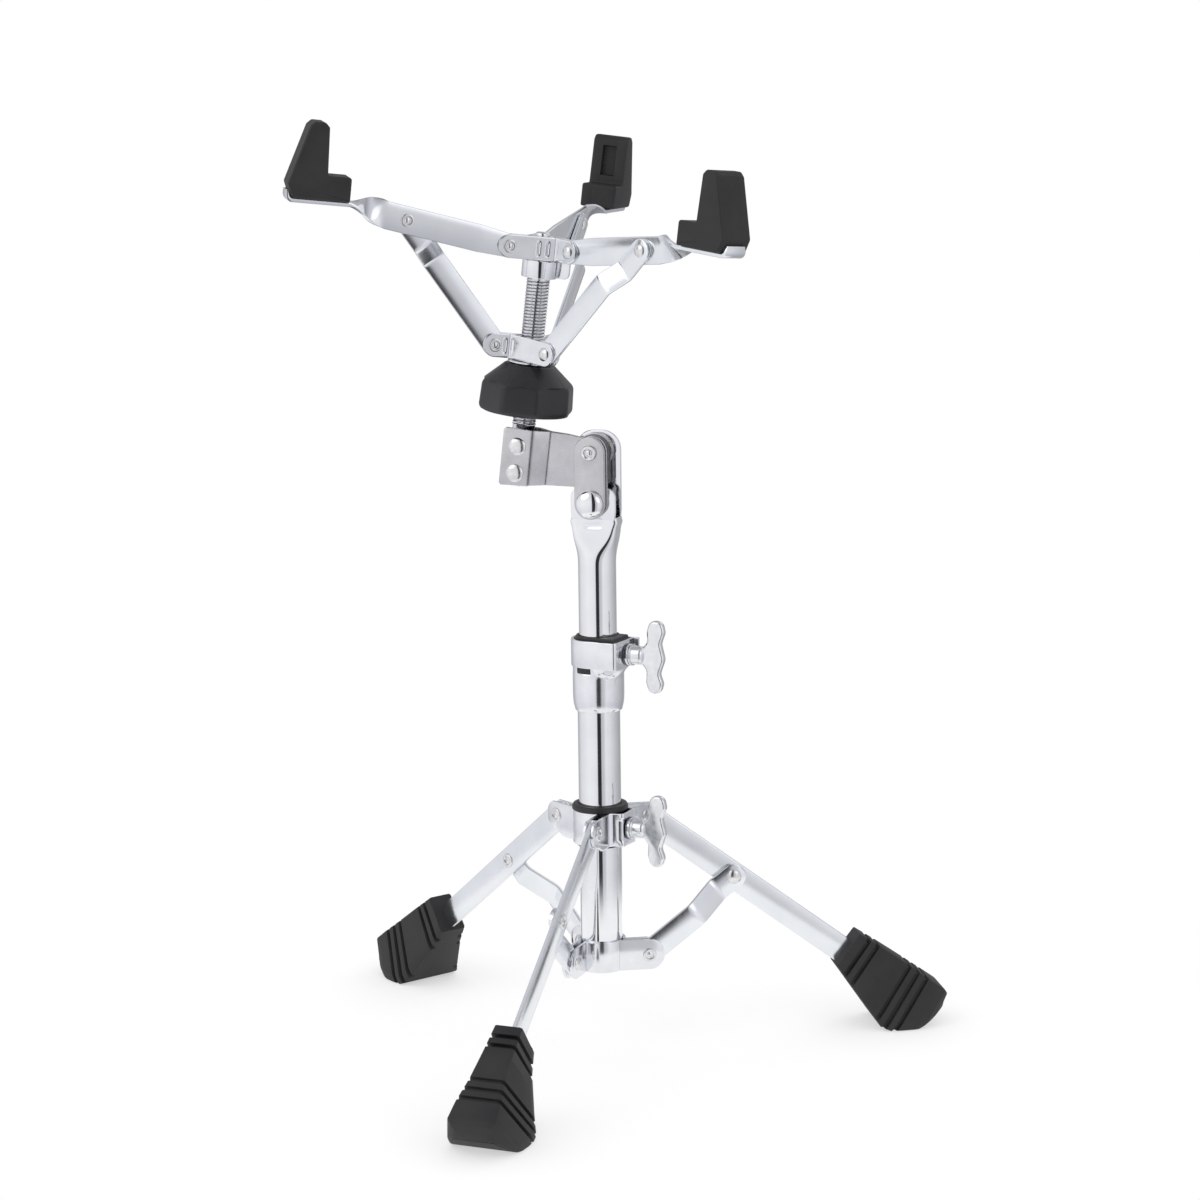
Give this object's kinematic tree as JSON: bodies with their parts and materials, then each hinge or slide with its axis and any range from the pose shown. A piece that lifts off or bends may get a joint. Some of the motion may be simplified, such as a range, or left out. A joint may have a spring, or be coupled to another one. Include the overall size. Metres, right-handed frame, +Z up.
{
  "type": "snare drum stand",
  "caption": "Folding stand with a flat-strip tripod, a telescoping column, a tilting joint and a three-arm clamping basket with rubber tips.",
  "frame": {"origin": "the point on the floor straight below the column, where the column axis meets the plane of the three foot soles", "axes": "+Z up along the column; leg 3 points along -Y; +X is the side the two T bolts and the tilting joint lean towards"},
  "size_m": [0.4433, 0.4116, 0.6272],
  "materials": {
    "tube_chrome": "bright chromium plate, fine circular polish",
    "pressed_chrome": "bright chromium plate on bent sheet steel",
    "strip_chrome": "bright chromium plate on flat strip",
    "hardware_chrome": "bright plated rivets, bolts and nuts",
    "black_plastic": "black moulded plastic, satin",
    "black_rubber": "black rubber, matte",
    "knob_plastic": "black moulded plastic, low gloss"
  },
  "bodies": {
    "base": {"base_tube": "tube_chrome", "height_clamp": "pressed_chrome", "clamp_insert": "black_plastic", "lower_hub": "pressed_chrome", "lower_hub_rivets": "hardware_chrome"},
    "height_bolt": {"clamp_bolt": "hardware_chrome"},
    "sliding_hub": {"leg_hub": "pressed_chrome", "hub_insert": "black_plastic", "hub_rivets": "hardware_chrome"},
    "hub_bolt_body": {"hub_bolt": "hardware_chrome"},
    "plug": {"tube_plug": "black_plastic"},
    "upper": {"upper_tube": "tube_chrome", "link_plates": "pressed_chrome", "tilter_discs": "black_plastic", "tilter_pivot": "hardware_chrome", "lock_bolt": "hardware_chrome"},
    "wing_nut_body": {"wing_nut": "hardware_chrome"},
    "tilter": {"strap_front": "pressed_chrome", "strap_rear": "pressed_chrome", "strap_rivets": "hardware_chrome", "basket_shaft": "hardware_chrome", "upper_bracket": "pressed_chrome", "bracket_rivets": "hardware_chrome"},
    "spider_body": {"spider": "pressed_chrome", "spider_rivets": "hardware_chrome", "spider_washer": "pressed_chrome"},
    "knob_body": {"knob": "knob_plastic", "knob_nut": "hardware_chrome"},
    "leg_1_body": {"leg_1": "strip_chrome", "foot_1": "black_rubber", "leg_rivet_1": "hardware_chrome"},
    "brace_1_body": {"brace_1": "strip_chrome"},
    "arm_1_body": {"arm_1": "strip_chrome", "tip_1": "black_rubber", "arm_rivet_1": "hardware_chrome"},
    "spoke_1_body": {"spoke_1": "strip_chrome"},
    "leg_2_body": {"leg_2": "strip_chrome", "foot_2": "black_rubber", "leg_rivet_2": "hardware_chrome"},
    "brace_2_body": {"brace_2": "strip_chrome"},
    "arm_2_body": {"arm_2": "strip_chrome", "tip_2": "black_rubber", "arm_rivet_2": "hardware_chrome"},
    "spoke_2_body": {"spoke_2": "strip_chrome"},
    "leg_3_body": {"leg_3": "strip_chrome", "foot_3": "black_rubber", "leg_rivet_3": "hardware_chrome"},
    "brace_3_body": {"brace_3": "strip_chrome"},
    "arm_3_body": {"arm_3": "strip_chrome", "tip_3": "black_rubber", "arm_rivet_3": "hardware_chrome"},
    "spoke_3_body": {"spoke_3": "strip_chrome"}
  },
  "joints": [
    {"name": "height_slide", "type": "slide", "parent": "base", "child": "plug", "axis": [0, 0, 1], "range_m": [-0.05, 0.08]},
    {"name": "column_swivel", "type": "hinge", "parent": "plug", "child": "upper", "pos_m": [0, 0, 0.3], "axis": [0, 0, 1], "continuous": true},
    {"name": "height_bolt_turn", "type": "hinge", "parent": "base", "child": "height_bolt", "pos_m": [0, 0, 0.272], "axis": [0.9945, -0.1045, 0], "continuous": true},
    {"name": "hub_slide", "type": "slide", "parent": "base", "child": "sliding_hub", "axis": [0, 0, 1], "range_m": [0, 0.053]},
    {"name": "hub_bolt_turn", "type": "hinge", "parent": "sliding_hub", "child": "hub_bolt_body", "pos_m": [0, 0, 0.153], "axis": [0.9945, -0.1045, 0], "continuous": true},
    {"name": "leg_1_fold", "type": "hinge", "parent": "sliding_hub", "child": "leg_1_body", "pos_m": [0.02477, 0.02389, 0.1554], "axis": [-0.5, 0.866, 0], "range_deg": [0, 33.09]},
    {"name": "brace_1_fold", "type": "hinge", "parent": "leg_1_body", "child": "brace_1_body", "pos_m": [0.07696, 0.05206, 0.11094], "axis": [0.5, -0.866, 0], "range_deg": [0, 64.07]},
    {"name": "leg_2_fold", "type": "hinge", "parent": "sliding_hub", "child": "leg_2_body", "pos_m": [-0.03308, 0.00951, 0.1554], "axis": [-0.5, -0.866, 0], "range_deg": [0, 33.09]},
    {"name": "brace_2_fold", "type": "hinge", "parent": "leg_2_body", "child": "brace_2_body", "pos_m": [-0.08356, 0.04062, 0.11094], "axis": [0.5, 0.866, 0], "range_deg": [0, 64.07]},
    {"name": "leg_3_fold", "type": "hinge", "parent": "sliding_hub", "child": "leg_3_body", "pos_m": [0.0083, -0.0334, 0.1554], "axis": [1, 0, 0], "range_deg": [0, 33.09]},
    {"name": "brace_3_fold", "type": "hinge", "parent": "leg_3_body", "child": "brace_3_body", "pos_m": [0.0066, -0.09268, 0.11094], "axis": [-1, 0, 0], "range_deg": [0, 64.07]},
    {"name": "tilter_hinge", "type": "hinge", "parent": "upper", "child": "tilter", "pos_m": [0, 0, 0.408], "axis": [-0.075, 0.9972, 0], "range_deg": [-26, 60]},
    {"name": "wing_nut_turn", "type": "hinge", "parent": "upper", "child": "wing_nut_body", "pos_m": [-0.00097, 0.01296, 0.374], "axis": [-0.075, 0.9972, 0], "continuous": true},
    {"name": "spider_slide", "type": "slide", "parent": "tilter", "child": "spider_body", "axis": [0.1215, 0.0091, 0.9925], "range_m": [-0.007, 0.024]},
    {"name": "knob_turn", "type": "hinge", "parent": "spider_body", "child": "knob_body", "pos_m": [-0.04733, -0.00356, 0.44405], "axis": [0.1215, 0.0091, 0.9925], "range_deg": [-1238, 4298]},
    {"name": "arm_1_lift", "type": "hinge", "parent": "tilter", "child": "arm_1_body", "pos_m": [-0.04256, 0.01987, 0.54219], "axis": [0.9898, 0.0744, -0.1219], "range_deg": [-8.48, 28.21]},
    {"name": "spoke_1_fold", "type": "hinge", "parent": "arm_1_body", "child": "spoke_1_body", "pos_m": [-0.04392, 0.08866, 0.55261], "axis": [0.9898, 0.0744, -0.1219], "range_deg": [-20.68, 6.31]},
    {"name": "arm_2_lift", "type": "hinge", "parent": "tilter", "child": "arm_2_body", "pos_m": [-0.01245, -0.00769, 0.53876], "axis": [-0.4299, -0.9008, 0.0609], "range_deg": [-8.48, 28.21]},
    {"name": "spoke_2_fold", "type": "hinge", "parent": "arm_2_body", "child": "spoke_2_body", "pos_m": [0.04925, -0.03967, 0.54238], "axis": [-0.4299, -0.9008, 0.0609], "range_deg": [-20.68, 6.31]},
    {"name": "arm_3_lift", "type": "hinge", "parent": "tilter", "child": "arm_3_body", "pos_m": [-0.05117, -0.02016, 0.54361], "axis": [-0.5598, 0.8264, 0.0609], "range_deg": [-8.48, 28.21]},
    {"name": "spoke_3_fold", "type": "hinge", "parent": "arm_3_body", "child": "spoke_3_body", "pos_m": [-0.10756, -0.05667, 0.56174], "axis": [-0.5598, 0.8264, 0.0609], "range_deg": [-20.68, 6.31]}
  ],
  "couplings": [
    {"joint": "leg_1_fold", "follows": "hub_slide", "rad_per_m": 10.7},
    {"joint": "brace_1_fold", "follows": "hub_slide", "rad_per_m": 20.9},
    {"joint": "leg_2_fold", "follows": "hub_slide", "rad_per_m": 10.7},
    {"joint": "brace_2_fold", "follows": "hub_slide", "rad_per_m": 20.9},
    {"joint": "leg_3_fold", "follows": "hub_slide", "rad_per_m": 10.7},
    {"joint": "brace_3_fold", "follows": "hub_slide", "rad_per_m": 20.9},
    {"joint": "spider_slide", "follows": "knob_turn", "m_per_rad": 0.00031831},
    {"joint": "arm_1_lift", "follows": "knob_turn", "ratio": 0.0064458},
    {"joint": "spoke_1_fold", "follows": "knob_turn", "ratio": -0.0046951},
    {"joint": "arm_2_lift", "follows": "knob_turn", "ratio": 0.0064458},
    {"joint": "spoke_2_fold", "follows": "knob_turn", "ratio": -0.0046951},
    {"joint": "arm_3_lift", "follows": "knob_turn", "ratio": 0.0064458},
    {"joint": "spoke_3_fold", "follows": "knob_turn", "ratio": -0.0046951}
  ]
}
